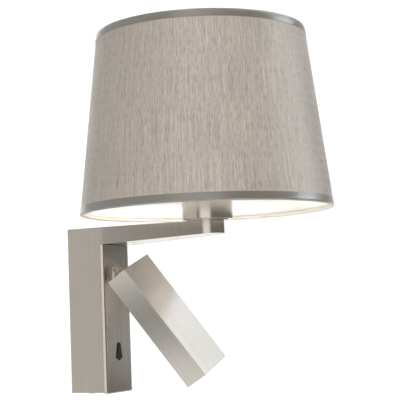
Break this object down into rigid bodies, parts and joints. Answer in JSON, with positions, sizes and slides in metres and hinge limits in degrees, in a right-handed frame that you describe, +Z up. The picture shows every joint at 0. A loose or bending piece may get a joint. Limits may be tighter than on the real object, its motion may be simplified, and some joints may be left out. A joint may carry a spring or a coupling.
{
  "type": "wall light with reading head",
  "caption": "Wall light with a tapered fabric shade on a short arm and a swivelling, tilting rectangular reading head below it.",
  "frame": {"origin": "centre of the wall plate, on the wall plane", "axes": "+Z up, the light stands out from the wall along -Y, +X to the right seen from the room"},
  "size_m": [0.2508, 0.2744, 0.3564],
  "materials": {
    "satin_nickel": "satin brushed nickel",
    "zinc_steel": "zinc plated",
    "screw_steel": "nickel plated",
    "rubber_black": "matte",
    "foam": "closed cell foam",
    "black_plastic": "fine moulded",
    "nylon": "natural",
    "driver_case": "moulded",
    "terminal_plastic": "moulded",
    "lead_sleeve": "heat resistant sleeve",
    "holder_plastic": "moulded",
    "contact_ceramic": "unglazed",
    "bulb_metal": "nickel plated",
    "opal_glass": "opal",
    "frame_wire": "white powder coat",
    "shade_fabric": "slubbed weave with a silk sheen",
    "shade_lining": "satin white",
    "trim_fabric": "folded self fabric tape",
    "raw_aluminium": "machined",
    "bezel_plastic": "moulded",
    "frosted_lens": "frosted",
    "board": "white solder mask",
    "led_phosphor": "phosphor"
  },
  "bodies": {
    "fixture": {"body_shell": "satin_nickel", "closing_plate": "satin_nickel", "front_cover": "satin_nickel", "cup_spacer": "satin_nickel", "holder_cup": "satin_nickel", "hinge_socket": "satin_nickel", "wall_plate": "zinc_steel", "earth_lug": "zinc_steel", "nipple": "zinc_steel", "nipple_nut": "zinc_steel", "holder_sleeve": "zinc_steel", "switch_terminals": "zinc_steel", "lock_screw": "screw_steel", "cover_screw": "screw_steel", "closer_screws": "screw_steel", "earth_screw": "screw_steel", "entry_grommet": "rubber_black", "mounting_pads": "foam", "switch_body": "black_plastic", "led_driver": "driver_case", "terminal_block": "terminal_plastic", "lamp_leads": "lead_sleeve", "lampholder": "holder_plastic", "ring_nuts": "holder_plastic", "centre_contact": "contact_ceramic", "bulb_cap": "bulb_metal", "bulb_globe": "opal_glass", "spider_ring": "frame_wire", "spider_arms": "frame_wire", "shade_wire_top": "frame_wire", "shade_wire_bottom": "frame_wire", "shade_skin": "shade_fabric", "shade_lining": "shade_lining", "shade_trim_top": "trim_fabric", "shade_trim_bottom": "trim_fabric"},
    "swivel": {"swivel_washer": "nylon", "swivel_post": "satin_nickel", "swivel_spring": "zinc_steel", "swivel_nut": "zinc_steel"},
    "head": {"head_housing": "satin_nickel", "head_cap": "satin_nickel", "hinge_block": "raw_aluminium", "tilt_pin": "zinc_steel", "tilt_washers": "nylon", "lens_bezel": "bezel_plastic", "led_lens": "frosted_lens", "led_board": "board", "led_chips": "led_phosphor", "heat_sink": "raw_aluminium"},
    "key": {"switch_key": "black_plastic"}
  },
  "joints": [
    {"name": "head_swivel", "type": "hinge", "parent": "fixture", "child": "swivel", "pos_m": [0, -0.03, 0.0332], "axis": [0, 1, 0], "range_deg": [-70.6, 109.4]},
    {"name": "head_tilt", "type": "hinge", "parent": "swivel", "child": "head", "pos_m": [0, -0.0548, 0.0332], "axis": [0.9432, 0, 0.3322], "range_deg": [-59.6, 30.4]},
    {"name": "key_rock", "type": "hinge", "parent": "fixture", "child": "key", "pos_m": [0, -0.0385, -0.042], "axis": [1, 0, 0], "range_deg": [-4, 4]}
  ]
}
